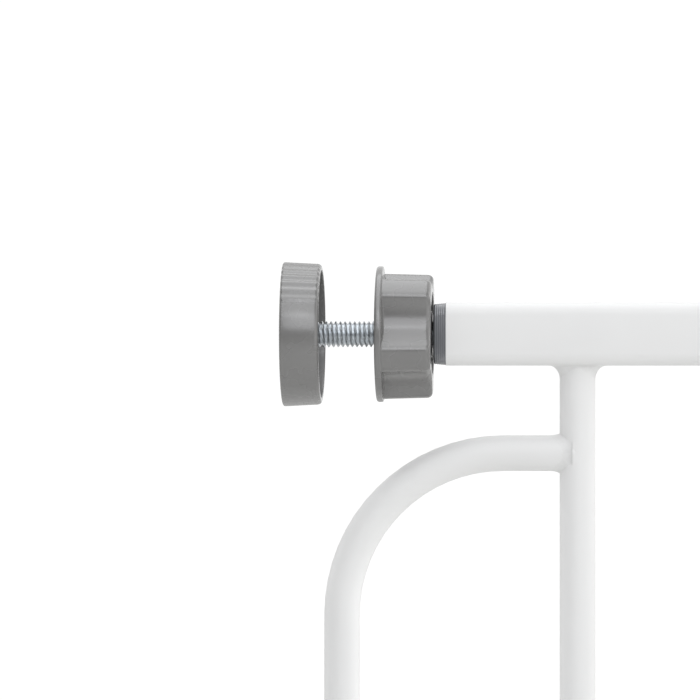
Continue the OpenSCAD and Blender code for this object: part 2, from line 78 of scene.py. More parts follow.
class Shader:
    """A Principled material with short calls for the textures that drive it."""

    def __init__(self, name, color, roughness, metallic=0.0):
        self.material = bpy.data.materials.new(name)
        self.material.use_nodes = True
        self.tree = self.material.node_tree
        self.surface = self.tree.nodes["Principled BSDF"]
        self.surface.inputs["Base Color"].default_value = (*color, 1)
        self.surface.inputs["Roughness"].default_value = roughness
        self.surface.inputs["Metallic"].default_value = metallic
        self.color = color
        self.position = self.tree.nodes.new("ShaderNodeTexCoord").outputs["Object"]

    def noise(self, scale, detail=3.0, stretch=(1, 1, 1)):
        """Noise with `scale` features a metre, squeezed along the axes by stretch."""
        mapping = self.tree.nodes.new("ShaderNodeMapping")
        mapping.inputs["Scale"].default_value = stretch
        self.tree.links.new(self.position, mapping.inputs["Vector"])
        texture = self.tree.nodes.new("ShaderNodeTexNoise")
        texture.inputs["Scale"].default_value = scale
        texture.inputs["Detail"].default_value = detail
        self.tree.links.new(mapping.outputs["Vector"], texture.inputs["Vector"])
        return texture.outputs["Fac"]

    def between(self, value, low, high):
        """A noise value, spread from low to high."""
        spread = self.tree.nodes.new("ShaderNodeMapRange")
        spread.inputs["From Min"].default_value = NOISE_LOW
        spread.inputs["From Max"].default_value = NOISE_HIGH
        spread.inputs["To Min"].default_value = low
        spread.inputs["To Max"].default_value = high
        self.tree.links.new(value, spread.inputs["Value"])
        return spread.outputs["Result"]

    def vary_color(self, value, dark, light):
        """The base colour runs from dark to light times its own value."""
        mix = self.tree.nodes.new("ShaderNodeMix")
        mix.data_type = "RGBA"
        mix.inputs["A"].default_value = (*[c * dark for c in self.color], 1)
        mix.inputs["B"].default_value = (*[c * light for c in self.color], 1)
        self.tree.links.new(self.between(value, 0, 1), mix.inputs["Factor"])
        self.tree.links.new(mix.outputs["Result"], self.surface.inputs["Base Color"])

    def vary_roughness(self, value, low, high):
        self.tree.links.new(self.between(value, low, high), self.surface.inputs["Roughness"])

    def bump(self, height, depth, strength=1.0, under=None):
        """Bump of that depth in metres, laid over another bump if one is given."""
        node = self.tree.nodes.new("ShaderNodeBump")
        node.inputs["Distance"].default_value = depth
        node.inputs["Strength"].default_value = strength
        self.tree.links.new(height, node.inputs["Height"])
        if under is not None:
            self.tree.links.new(under, node.inputs["Normal"])
        self.tree.links.new(node.outputs["Normal"], self.surface.inputs["Normal"])
        return node.outputs["Normal"]


def powder_coat():
    """Satin white powder coat with a faint orange peel."""
    shader = Shader("powder_coat_white", (0.80, 0.80, 0.795), 0.42)
    shader.surface.inputs["Specular IOR Level"].default_value = 0.35
    shader.vary_color(shader.noise(35), 0.985, 1.01)
    shader.vary_roughness(shader.noise(260), 0.38, 0.46)
    peel = shader.bump(shader.noise(520, 2), 0.00003, 0.3)
    shader.bump(shader.noise(2400, 1), 0.00001, 0.2, peel)
    return shader.material


def weld_coat():
    """The same coat over a rippled weld bead."""
    shader = Shader("powder_coat_weld", (0.79, 0.79, 0.785), 0.40)
    shader.vary_color(shader.noise(300), 0.95, 1.01)
    shader.bump(shader.noise(700, 3), 0.0003, 0.6)
    return shader.material


def moulded_plastic(name, color, smooth, rough, gloss):
    """Moulded plastic with a polished skin, a fine eroded texture and slight flow marks."""
    shader = Shader(name, color, (smooth + rough) / 2)
    shader.surface.inputs["Specular IOR Level"].default_value = 0.9
    shader.surface.inputs["Coat Weight"].default_value = gloss
    shader.surface.inputs["Coat Roughness"].default_value = 0.16
    shader.vary_color(shader.noise(60, 2), 0.97, 1.03)
    shader.vary_roughness(shader.noise(120, 2), smooth, rough)
    flow = shader.bump(shader.noise(70, 1, (0.25, 1, 1)), 0.00003, 0.2)
    shader.bump(shader.noise(1500, 1), 0.000002, 0.1, flow)
    return shader.material


def zinc_plate():
    """Bright zinc plate, faintly blue and mottled."""
    shader = Shader("zinc_steel", (0.70, 0.73, 0.755), 0.3, 1.0)
    shader.vary_color(shader.noise(500, 3), 0.92, 1.05)
    shader.vary_roughness(shader.noise(900, 2), 0.26, 0.36)
    shader.bump(shader.noise(2500, 1), 0.000006, 0.25)
    return shader.material


def soft_rubber():
    """Matt black rubber with a fine grain."""
    shader = Shader("black_rubber", (0.030, 0.030, 0.031), 0.72)
    shader.vary_color(shader.noise(600, 3), 0.75, 1.3)
    shader.vary_roughness(shader.noise(900), 0.62, 0.82)
    shader.bump(shader.noise(3500, 3), 0.00004, 0.7)
    return shader.material


WHITE = powder_coat()
WELD = weld_coat()
GREY = moulded_plastic("grey_plastic", (0.162, 0.160, 0.157), 0.24, 0.30, 0.5)
DARK = moulded_plastic("dark_grey_plastic", (0.136, 0.142, 0.155), 0.28, 0.36, 1.0)
ZINC = zinc_plate()
RUBBER = soft_rubber()


# ---------- Mesh building ----------

GROOVE_FILLET = 0.1


def make_piece(name, shells, matrix, body, material, replaces, sharp=32):
    """A mesh object of one or more closed shells, each (points in mm, faces)."""
    mesh = bpy.data.meshes.new(name)
    points, faces = [], []
    for shell_points, shell_faces in shells:
        first = len(points)
        points += shell_points
        faces += [[first + i for i in face] for face in shell_faces]
    mesh.from_pydata([matrix @ (Vector(p) * MM) for p in points], [], faces)
    mesh.validate()
    work = bmesh.new()
    work.from_mesh(mesh)
    bmesh.ops.recalc_face_normals(work, faces=work.faces)
    work.to_mesh(mesh)
    work.free()
    mesh.shade_smooth()
    mesh.set_sharp_from_angle(angle=math.radians(sharp))
    mesh.materials.append(material)
    piece = bpy.data.objects.new(name, mesh)
    bpy.context.scene.collection.objects.link(piece)
    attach(piece, body)
    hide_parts(*replaces)
    return piece


def skin(rings, wrap=False):
    """Quads between equal closed rings of points. With no wrap, the two ends are capped."""
    count = len(rings[0])
    points = [p for ring in rings for p in ring]
    faces = []
    for k in range(len(rings) if wrap else len(rings) - 1):
        here = k * count
        there = (k + 1) % len(rings) * count
        for i in range(count):
            j = (i + 1) % count
            faces.append([here + i, here + j, there + j, there + i])
    if not wrap:
        faces.append(list(range(count)))
        faces.append([len(points) - 1 - i for i in range(count)])
    return points, faces


def unit(angle):
    return Vector((math.cos(angle), math.sin(angle)))


def arc(centre, radius, start, end, steps):
    """Points of a circular arc from one angle to another, both ends included."""
    return [centre + radius * unit(start + (end - start) * k / steps) for k in range(steps + 1)]


def filleted(corners, steps=4, closed=True):
    """Outline through (a, b, fillet radius) corners, with each corner rounded."""
    outline = []
    count = len(corners)
    for i, (a, b, radius) in enumerate(corners):
        here = Vector((a, b))
        if radius <= 0 or (not closed and i in (0, count - 1)):
            outline.append(here)
            continue
        before = (Vector(corners[i - 1][:2]) - here).normalized()
        after = (Vector(corners[(i + 1) % count][:2]) - here).normalized()
        half = before.angle(after) / 2
        centre = here + (before + after).normalized() * radius / math.sin(half)
        reach = radius / math.tan(half)
        start = here + before * reach - centre
        end = here + after * reach - centre
        turn = start.angle(end)
        for k in range(steps + 1):
            t = k / steps
            spoke = start * math.sin((1 - t) * turn) + end * math.sin(t * turn)
            outline.append(centre + spoke / math.sin(turn))
    return outline


def groove(face, radius, depth, mouth, bottom):
    """Profile corners of a groove round a flat face, with half its width at its mouth and bottom."""
    return [
        (face, radius - mouth, GROOVE_FILLET),
        (face + depth, radius - bottom, GROOVE_FILLET),
        (face + depth, radius + bottom, GROOVE_FILLET),
        (face, radius + mouth, GROOVE_FILLET),
    ]


# ---------- Clamp parts ----------

def on_axis(out, radius, angle):
    """A clamp part's point from its distance outwards, its radius and its angle."""
    return (-out, -radius * math.cos(angle), radius * math.sin(angle))


def at_corner(corner):
    """Matrix that puts a clamp part at its corner of the gate."""
    low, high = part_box("wall_cup_" + corner)
    left = corner.endswith("left")
    place = Matrix.Translation((-RAIL_END if left else RAIL_END, 0, (low.z + high.z) / 2))
    return place @ Matrix.Rotation(0 if left else math.pi, 4, "Z")


def outwards(node, corner):
    """Where a clamp node starts and ends, in mm outwards of the rail's end."""
    low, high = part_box(f"{node}_{corner}")
    if corner.endswith("left"):
        return (-RAIL_END - high.x) / MM, (-RAIL_END - low.x) / MM
    return (low.x - RAIL_END) / MM, (high.x - RAIL_END) / MM


def radius_of(node, corner):
    low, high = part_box(f"{node}_{corner}")
    return (high.y - low.y) / 2 / MM


def clamp_piece(node, corner, suffix, shells, body, material, sharp=32):
    """The visible piece of one clamp node, at its corner of the gate."""
    name = f"{node}_{corner}"
    make_piece(f"{name}_{suffix}", shells, at_corner(corner), body, material, [name], sharp)


# ---------- Wall cup ----------

CUP_DRAFT = 0.6
CUP_WALL = 2.0
CUP_ROOT = 0.2          # how much thicker the wall is at the floor
CUP_FLOOR = 3.0
CUP_HOLE_R = 2.3
CUP_SINK_R = 3.9
CUP_FILLET = 1.2
CUP_BACK_FILLET = 0.7
CUP_LIP_FILLET = 0.3
CUP_FLAT = 0.6          # flat ring kept round the hole and the countersink
CUP_FLAT_EDGE = 1.6     # where the flat of the floor and the back ends, in from the wall
CUP_GROOVE_R = 16.5
CUP_GROOVE = 0.4

# The ribbed grip on the cup's upper side. Angles are in degrees.
PLAIN_SIDE = range(-200, 20, 4)
GRIP_FROM = 25.0
GRIP_TO = 155.0
GRIP_RIBS = 16
GRIP_SUNK = 0.32
GRIP_RIB = 0.28
GRIP_SKIN = 1.15        # the grip is cut only this far in from the rim's outer radius
RIB_STEPS = 10
LEDGE = 0.7
LEDGE_STEPS = 5
LEDGE_ROUND = 0.6       # share of the ledge's drop that is rounded
LEDGE_DROP = 0.06       # width of the steep rest of it
RIB_MARGIN = 0.3


def grip_angles():
    """Angles round the cup in degrees with how far the surface is sunk there: smooth below,
    a rounded ledge at each end of the grip, and ribs between the ledges."""
    plain = [(degrees, 0.0) for degrees in PLAIN_SIDE]
    ledge = []
    for k in range(LEDGE_STEPS + 1):
        a = QUARTER * k / LEDGE_STEPS
        ledge.append((LEDGE * math.sin(a), GRIP_SUNK * (1 - math.cos(a)) * LEDGE_ROUND))
    ledge.append((LEDGE + LEDGE_DROP, GRIP_SUNK))
    first_ledge = [(GRIP_FROM + a, sunk) for a, sunk in ledge]
    last_ledge = [(GRIP_TO - a, sunk) for a, sunk in reversed(ledge)]
    first = GRIP_FROM + LEDGE + RIB_MARGIN
    pitch = (GRIP_TO - LEDGE - RIB_MARGIN - first) / GRIP_RIBS
    ribs = []
    for rib in range(GRIP_RIBS):
        for k in range(RIB_STEPS):
            lift = (1 - math.cos(TAU * k / RIB_STEPS)) / 2
            ribs.append((first + pitch * (rib + k / RIB_STEPS), GRIP_SUNK - GRIP_RIB * lift))
    return plain + first_ledge + ribs + last_ledge


def cup_profile(rim, back, radius):
    """The cup's section from the inner wall, round the screw hole and the back, to the rim."""
    floor = back - CUP_FLOOR
    inner = radius - CUP_WALL - CUP_ROOT
    return filleted([
        (floor, inner, CUP_FILLET),
        (floor, inner - CUP_FLAT_EDGE, 0),
        (floor, CUP_SINK_R + CUP_FLAT, 0),
        (floor, CUP_SINK_R, 0.15),
        (floor + CUP_SINK_R - CUP_HOLE_R, CUP_HOLE_R, 0.1),
        (back, CUP_HOLE_R, 0.15),
        (back, CUP_HOLE_R + CUP_FLAT, 0),
        *groove(back, CUP_GROOVE_R, -CUP_GROOVE, 0.6, 0.3),
        (back, radius - CUP_FLAT_EDGE, 0),
        (back, radius, CUP_BACK_FILLET),
        (rim, radius - CUP_DRAFT, CUP_FILLET),
        (rim, radius - CUP_DRAFT - CUP_WALL, CUP_LIP_FILLET),
    ])


def wall_cup(corner):
    rim, back = outwards("wall_cup", corner)
    radius = radius_of("wall_cup", corner)
    angles = grip_angles()
    outer_least = radius - CUP_DRAFT - GRIP_SKIN
    rings = []
    for out, r in cup_profile(rim, back, radius):
        ring = []
        for degrees, sunk in angles:
            here = r - sunk if r > outer_least else r
            ring.append(on_axis(out, here, math.radians(degrees)))
        rings.append(ring)
    clamp_piece(
        "wall_cup", corner, "shell", [skin(rings, True)],
        "spindle_" + corner, GREY, 28,
    )


# ---------- Spindle and its foot ----------

THREAD_PITCH = 25.4 / 18
THREAD_DEPTH = 0.87
THREAD_SIDES = 36
THREAD_STEPS = 8        # rings along one pitch
THREAD_FLAT = 0.14      # share of the pitch that the crest and the root are flat for
TIP_BEVEL = 0.9

FOOT_SIDES = 96
FOOT_COLLAR = 1.2       # how far the collar round the spindle stands off the pad
FOOT_COLLAR_R = 6.0
FOOT_COLLAR_ROOT_R = 7.4
FOOT_GROOVES = (9.5, 12.0, 14.5)
FOOT_GROOVE = 0.5
FOOT_HOLE_R = 1.5
FOOT_CONE = 1.2         # depth of the cone between that hole and the spindle's socket


def thread_depth(phase):
    """How far the flank lies below the crest, for a phase from 0 to 1 along one pitch."""
    from_crest = abs(phase - 0.5) * 2
    slope = (from_crest - THREAD_FLAT) / (1 - 2 * THREAD_FLAT)
    return THREAD_DEPTH * max(0.0, min(1.0, slope))


def spindle(corner):
    inner, tip = outwards("spindle", corner)
    radius = radius_of("spindle", corner)
    count = round((tip - inner) / THREAD_PITCH * THREAD_STEPS)
    rings = []
    for k in range(count + 1):
        out = inner + (tip - inner) * k / count
        bevel = max(0.0, TIP_BEVEL - min(out - inner, tip - out))
        ring = []
        for i in range(THREAD_SIDES):
            phase = (out / THREAD_PITCH - i / THREAD_SIDES) % 1
            cut = max(thread_depth(phase), bevel)
            ring.append(on_axis(out, radius - cut, TAU * i / THREAD_SIDES))
        rings.append(ring)
    clamp_piece(
        "spindle", corner, "threaded", [skin(rings)],
        "spindle_" + corner, ZINC, 60,
    )


def spindle_foot(corner):
    front, back = outwards("spindle_foot", corner)
    radius = radius_of("spindle_foot", corner)
    socket_r = radius_of("spindle", corner)
    face = front + FOOT_COLLAR
    grooves = []
    for r in FOOT_GROOVES:
        grooves += groove(face, r, FOOT_GROOVE, 0.5, 0.2)
    profile = filleted([
        (front, socket_r, 0.15),
        (front, FOOT_COLLAR_R, 0.5),
        (face, FOOT_COLLAR_ROOT_R, 0.5),
        *grooves,
        (face, radius, 1.0),
        (back, radius, 0.4),
        (back, FOOT_HOLE_R, 0.2),
        (back - FOOT_CONE, socket_r, 0.1),
    ], 3)
    around = [TAU * k / FOOT_SIDES for k in range(FOOT_SIDES)]
    rings = [[on_axis(out, r, a) for a in around] for out, r in profile]
    clamp_piece(
        "spindle_foot", corner, "pad", [skin(rings, True)],
        "spindle_" + corner, RUBBER,
    )


# ---------- Hand nut ----------

NUT_LOBES = 5
NUT_DRAFT = 0.02        # share of its radius that the body loses towards the rail
NUT_END_FILLET = 1.6
BODY_GAP = 0.5          # from the flange to the first plain ring of the body
BODY_STEPS = 6
END_STEPS = 8

NUT_FLANGE = 2.5
NUT_LIP = 0.9           # how far the flange stands out past the lobes
NUT_CONE = 0.75         # how much thinner the flange is at its edge
NUT_CONE_WIDTH = 4.0    # how far inside the lobes' tips the flange's cone starts
CONE_STOP = (0.2, 0.4)   # (rise, spread) from the lobes' tips that the flange's back runs to
FLANGE_FILLET = 0.7
CONE_FOOT = ((0.0, 0.3), (0.07, 0.09), (0.25, 0.0))  # (lift, spread) of the fillet on the cone

SCALLOP_R = 13.1
SCALLOP_OFF = 8.6       # how far outside the lobes' tips the scallop's centre lies
LOBE_FILLET = 2.4
FIRST_LOBE = math.radians(-24.1)
SCALLOP_STEPS = 14
LOBE_STEPS = 6

NUT_RECESS = 9.0
NUT_RECESS_R = 12.5
NUT_RECESS_BEVEL = 0.3
NUT_HUB_R = 7.0
NUT_BORE_R = 4.03
NUT_BORE_BEVEL = 0.4
NUT_RIB = 1.6
NUT_RIB_DROP = 0.8      # how far the webs stay below the recess's mouth
NUT_RIB_ROOT = 0.3      # how far they reach into the hub and the wall
NUT_RIB_FOOT = 0.2      # and into the recess's floor


def nut_outline(tip_r):
    """The lobed outline as (radius, angle) pairs: lobe arcs, corner fillets and scallop arcs."""
    scallop_at = tip_r + SCALLOP_OFF
    near = tip_r - LOBE_FILLET
    far = SCALLOP_R + LOBE_FILLET
    turn = math.acos((near**2 + scallop_at**2 - far**2) / (2 * near * scallop_at))
    fillet = near * unit(turn)
    touch = math.atan2(fillet.y, fillet.x - scallop_at)
    half = arc(Vector((scallop_at, 0)), SCALLOP_R, math.pi, touch, SCALLOP_STEPS)
    half += arc(fillet, LOBE_FILLET, touch - math.pi, turn, LOBE_STEPS)[1:]
    half += arc(Vector((0, 0)), tip_r, turn, math.pi / NUT_LOBES, LOBE_STEPS)[1:]
    sector = [Vector((p.x, -p.y)) for p in reversed(half[1:-1])] + half
    outline = []
    for lobe in range(NUT_LOBES):
        centre = FIRST_LOBE + math.pi / NUT_LOBES + TAU * lobe / NUT_LOBES
        outline += [(p.length, math.atan2(p.y, p.x) + centre) for p in sector]
    return outline


def round_rings(profile, outline):
    """Circular rings with the outline's angles, one for each (out, radius) of the profile."""
    return [[on_axis(out, radius, a) for _, a in outline] for out, radius in profile]


def nut_flange(end, lip_r, tip_r, outline):
    """The flange's flat front, rounded edge and conical back, down to the lobed body."""
    body_end = end - NUT_FLANGE
    cone_r = tip_r - NUT_CONE_WIDTH
    rise, spread = CONE_STOP
    profile = filleted([
        (end, NUT_BORE_R + NUT_BORE_BEVEL, 0),
        (end, lip_r, FLANGE_FILLET),
        (body_end + NUT_CONE, lip_r, FLANGE_FILLET),
        (body_end + rise, tip_r + spread, 0),
    ], 5, False)
    # The last point only gives the back its slope.
    rings = round_rings(profile[:-1], outline)
    for lift, spread in CONE_FOOT:
        ring = []
        for r, a in outline:
            out = body_end + NUT_CONE * max(0.0, r - cone_r) / (lip_r - cone_r)
            ring.append(on_axis(out - lift, r + spread, a))
        rings.append(ring)
    return rings


def nut_body(start, end, outline):
    """The lobed body from the flange to its rounded end on the rail's side."""
    body_end = end - NUT_FLANGE

    def lobed(out, inset):
        draft = 1 - NUT_DRAFT * (body_end - out) / (body_end - start)
        return [on_axis(out, r * draft - inset, a) for r, a in outline]

    top = body_end - BODY_GAP
    full = start + NUT_END_FILLET
    rings = [lobed(top + (full - top) * k / BODY_STEPS, 0) for k in range(BODY_STEPS)]
    for k in range(END_STEPS + 1):
        a = QUARTER * k / END_STEPS
        rings.append(lobed(full - NUT_END_FILLET * math.sin(a), NUT_END_FILLET * (1 - math.cos(a))))
    return rings


def nut_inside(start, end, outline):
    """The recess round the hub, and the bore."""
    floor = start + NUT_RECESS
    profile = filleted([
        (start, NUT_RECESS_R + NUT_RECESS_BEVEL, 0),
        (start + NUT_RECESS_BEVEL, NUT_RECESS_R, 0),
        (floor, NUT_RECESS_R, 0.8),
        (floor, NUT_HUB_R, 0.8),
        (start, NUT_HUB_R, 0.4),
        (start, NUT_BORE_R, 0.3),
        (end - NUT_BORE_BEVEL, NUT_BORE_R, 0),
    ], 4, False)
    return round_rings(profile, outline)


def nut_rib(start, angle):
    """Web inside the recess, from the hub to the wall under a lobe."""
    across = Vector((0, math.sin(angle), math.cos(angle))) * NUT_RIB / 2
    rings = []
    for out in (start + NUT_RIB_DROP, start + NUT_RECESS + NUT_RIB_FOOT):
        near = Vector(on_axis(out, NUT_HUB_R - NUT_RIB_ROOT, angle))
        far = Vector(on_axis(out, NUT_RECESS_R + NUT_RIB_ROOT, angle))
        rings.append([tuple(p) for p in (near - across, near + across, far + across, far - across)])
    return skin(rings)


def hand_nut(corner):
    start, end = outwards("hand_nut", corner)
    lip_r = radius_of("hand_nut", corner)
    tip_r = lip_r - NUT_LIP
    outline = nut_outline(tip_r)
    rings = nut_flange(end, lip_r, tip_r, outline)
    rings += nut_body(start, end, outline)
    rings += nut_inside(start, end, outline)
    shells = [skin(rings, True)]
    for lobe in range(NUT_LOBES):
        shells.append(nut_rib(start, FIRST_LOBE + TAU * lobe / NUT_LOBES))
    clamp_piece("hand_nut", corner, "grip", shells, "hand_nut_" + corner, GREY)


# ---------- End plug ----------

PLUG_TAPER = 0.4
PLUG_CORNER = 3.6
PLUG_CORNER_STEPS = 8
PLUG_FILLET = 0.6
PLUG_FILLET_STEPS = 5
PLUG_BACK = 0.1         # thickness of the bevel against the rail's end
PLUG_BACK_BEVEL = 0.12
PLUG_RIDGES = 5
PLUG_RIDGE = 0.07
RIDGE_SHAPE = ((0.15, 0), (0.45, 1), (0.6, 1), (0.9, 0))  # shares of a ridge's pitch and depth
PLUG_BORE_R = 4.22
PLUG_BORE_BEVEL = 0.4

# The shank inside the rail and its tapered nose.
SHANK_STEP = 1.2
SHANK_CORNER = 2.6
NOSE = 1.2
NOSE_TAPER = 0.8
NOSE_CORNER = 2.0


def square_ring(out, half, corner):
    """Round-cornered square across the clamp's axis."""
    ring = []
    for q in range(4):
        centre = Vector((1 if q in (0, 3) else -1, 1 if q < 2 else -1)) * (half - corner)
        rounded = arc(centre, corner, QUARTER * q, QUARTER * (q + 1), PLUG_CORNER_STEPS)
        ring += [(-out, -p.x, p.y) for p in rounded]
    return ring


def plug_flange(half, face):
    """Rings of the tapered flange, from the rail's end over the ridges to its rounded face."""

    def ring(out, inset):
        return square_ring(out, half - PLUG_TAPER * out / face - inset, PLUG_CORNER)

    rings = [ring(0.0, PLUG_BACK_BEVEL), ring(PLUG_BACK, 0.0)]
    ridged = face - PLUG_FILLET
    for ridge in range(PLUG_RIDGES):
        for share, depth in RIDGE_SHAPE:
            out = PLUG_BACK + (ridged - PLUG_BACK) * (ridge + share) / PLUG_RIDGES
            rings.append(ring(out, PLUG_RIDGE * depth))
    for k in range(PLUG_FILLET_STEPS + 1):
        a = QUARTER * k / PLUG_FILLET_STEPS
        rings.append(ring(ridged + PLUG_FILLET * math.sin(a), PLUG_FILLET * (1 - math.cos(a))))
    return rings


def end_plug(corner):
    shank_end, face = outwards("end_plug", corner)
    half = radius_of("end_plug", corner)
    shank = half - SHANK_STEP
    rings = [square_ring(0.0, shank, SHANK_CORNER)]
    rings += plug_flange(half, face)
    sides = len(rings[0])
    around = [TAU * (k + 0.5) / sides for k in range(sides)]
    bore = (
        (face, PLUG_BORE_R + PLUG_BORE_BEVEL),
        (face - PLUG_BORE_BEVEL, PLUG_BORE_R),
        (shank_end, PLUG_BORE_R),
    )
    for out, radius in bore:
        rings.append([on_axis(out, radius, a) for a in around])
    rings.append(square_ring(shank_end, shank - NOSE_TAPER, NOSE_CORNER))
    rings.append(square_ring(shank_end + NOSE, shank, SHANK_CORNER))
    clamp_piece(
        "end_plug", corner, "insert", [skin(rings, True)],
        "frame", DARK,
    )


for corner in CORNERS:
    wall_cup(corner)
    spindle(corner)
    spindle_foot(corner)
    hand_nut(corner)
    end_plug(corner)


# ---------- Weld beads ----------

BAR_R = (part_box("side_bar_left")[1].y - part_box("side_bar_left")[0].y) / 2 / MM
BEAD_SIDES = 72
BEAD_STEPS = 8
BEAD_BURIED = 0.3       # how far a bead reaches into its bar
DOOR_BARS = 6

# A bead on a flat face is widest and tallest along the tube: (least, what is added along it).
BAR_BEAD_WIDTH = (0.25, 3.15)
BAR_BEAD_HEIGHT = (1.0, 3.1)
BAR_BEAD_FALL = 1.4

# A bead on the round side bar starts inside the bar's surface.
TEE_BEAD_WIDTH = 1.0
TEE_BEAD_HEIGHT = 3.9
TEE_WOBBLE = 1.5
TEE_LEAST = 1.6         # the bead follows the side bar's surface to this distance from its axis
TEE_INSIDE = 0.2
TEE_TRIM = 0.02         # how far the bead's thin edge sinks into its bar


def bead_wobble(angle, seed):
    """A hand-made bead's slight unevenness, in mm."""
    return 0.10 * math.sin(5 * angle + seed) + 0.06 * math.sin(11 * angle + 2.3 * seed)


def bead(section, place):
    """Concave bead round a bar. At an angle round the bar, and a turn from 0 to a quarter up the
    bead, section() gives the radius and the height, and place() makes a point of them."""
    around = [TAU * k / BEAD_SIDES for k in range(BEAD_SIDES)]
    turns = [QUARTER * step / BEAD_STEPS for step in range(BEAD_STEPS + 1)]
    outside = [[section(angle, turn) for angle in around] for turn in turns]
    inside = [[(BAR_R - BEAD_BURIED, height) for _, height in ring] for ring in (outside[-1], outside[0])]
    rings = []
    for ring in outside + inside:
        rings.append([place(r, height, angle) for (r, height), angle in zip(ring, around)])
    return skin(rings, True)


def bar_bead(x, z, up, seed):
    """Bead round an upright bar on a tube's flat face."""

    def section(angle, turn):
        along = abs(math.cos(angle)) ** BAR_BEAD_FALL
        least, more = BAR_BEAD_WIDTH
        width = least + more * along + (0.1 + along) * bead_wobble(angle, seed)
        least, more = BAR_BEAD_HEIGHT
        height = least + more * along + bead_wobble(angle + 1, seed)
        return BAR_R + width * (1 - math.sin(turn)), height * (1 - math.cos(turn))

    def place(r, height, angle):
        return (x / MM + r * math.cos(angle), r * math.sin(angle), z / MM + (height if up else -height))

    return bead(section, place)


def tee_bead(x, z, side, seed):
    """Bead round the curved bar's end where it meets the side bar at x."""

    def section(angle, turn):
        width = TEE_BEAD_WIDTH + bead_wobble(angle, seed)
        r = BAR_R + width * (1 - math.sin(turn)) - TEE_TRIM
        surface = math.sqrt(max(TEE_LEAST**2, BAR_R**2 - (r * math.cos(angle)) ** 2))
        height = TEE_BEAD_HEIGHT + TEE_WOBBLE * bead_wobble(angle + 2, seed)
        return r, surface - TEE_INSIDE + height * (1 - math.cos(turn))

    def place(r, height, angle):
        return (x / MM + side * height, -r * math.cos(angle), z / MM + r * math.sin(angle))

    return bead(section, place)


def middle_x(node):
    low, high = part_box(node)
    return (low.x + high.x) / 2


def frame_beads():
    sill, under = (corner.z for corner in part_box("side_bar_left"))
    loop_low, loop_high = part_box("curved_bar_left")
    levels = (loop_high.z - BAR_R * MM, loop_low.z + BAR_R * MM)
    shells = []
    for side, name in ((-1, "side_bar_left"), (1, "side_bar_right")):
        x = middle_x(name)
        shells.append(bar_bead(x, sill, True, 1.0 + side))
        shells.append(bar_bead(x, under, False, 2.0 + side))
        shells += [tee_bead(x, z, side, 3.0 + side + z) for z in levels]
    make_piece(
        "frame_weld_beads", shells, IN_PLACE, "frame", WELD,
        ["frame_welds"], 50,
    )


def door_beads():
    shells = []
    for bar in range(1, DOOR_BARS + 1):
        node = f"door_bar_{bar}"
        low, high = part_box(node)
        shells.append(bar_bead(middle_x(node), low.z, True, bar))
        shells.append(bar_bead(middle_x(node), high.z, False, bar + 0.5))
    make_piece(
        "door_weld_beads", shells, IN_PLACE, "door", WELD,
        ["door_welds"], 50,
    )


frame_beads()
door_beads()


# ---------- Screws ----------

SAME_POINT = 1e-7
SCREW_SIDES = 48
HEAD_HEIGHT = 2.0
HEAD_STEPS = 7
HEAD_ROUND = 0.8        # power that makes the dome fuller than a quarter ellipse
HEAD_EDGE = 0.15        # bevel under the head's edge
HEAD_FLAT_R = 2.3
SHANK_R = 2.0
SHANK_BEVEL = (0.6, 0.5)
SOCKET_R = 1.7
SOCKET_BEVEL = 0.2
SOCKET_DEPTH = 1.3


def extent(points):
    low = Vector([min(p[i] for p in points) for i in range(3)])
    high = Vector([max(p[i] for p in points) for i in range(3)])
    return low, high


def solids_of(node):
    """The separate solids of a CAD node, each a list of points."""
    work = bmesh.new()
    work.from_mesh(nodes[node].data)
    bmesh.ops.remove_doubles(work, verts=work.verts, dist=SAME_POINT)
    left = set(work.verts)
    found = []
    while left:
        group = set()
        edge = [left.pop()]
        while edge:
            vert = edge.pop()
            group.add(vert)
            for other in (e.other_vert(vert) for e in vert.link_edges):
                if other in left:
                    left.discard(other)
                    edge.append(other)
        found.append([v.co.copy() for v in group])
    work.free()
    return sorted(found, key=lambda points: tuple(extent(points)[0]))


def screw_rings(length, head_r):
    """A button-head screw's rings of (radius, angle, height), from its tip to its hexagon socket."""
    bevel_length, bevel_depth = SHANK_BEVEL
    under = length - HEAD_HEIGHT
    profile = [
        (0.0, SHANK_R - bevel_depth),
        (bevel_length, SHANK_R),
        (under, SHANK_R),
        (under, head_r - HEAD_EDGE),
    ]
    for k in range(HEAD_STEPS + 1):
        a = QUARTER * k / HEAD_STEPS
        rise = HEAD_EDGE + (HEAD_HEIGHT - HEAD_EDGE) * math.sin(a) ** HEAD_ROUND
        profile.append((under + rise, head_r - (head_r - HEAD_FLAT_R) * (1 - math.cos(a))))
    around = [TAU * k / SCREW_SIDES for k in range(SCREW_SIDES)]
    rings = [[(r, a, along) for a in around] for along, r in profile]
    socket = (
        (length, SOCKET_R + SOCKET_BEVEL),
        (length - SOCKET_BEVEL, SOCKET_R),
        (length - SOCKET_DEPTH, SOCKET_R),
    )
    side = math.pi / 3
    flats = [math.cos(side / 2) / math.cos(a % side - side / 2) for a in around]
    rings += [[(r * flat, a, along) for flat, a in zip(flats, around)] for along, r in socket]
    return rings


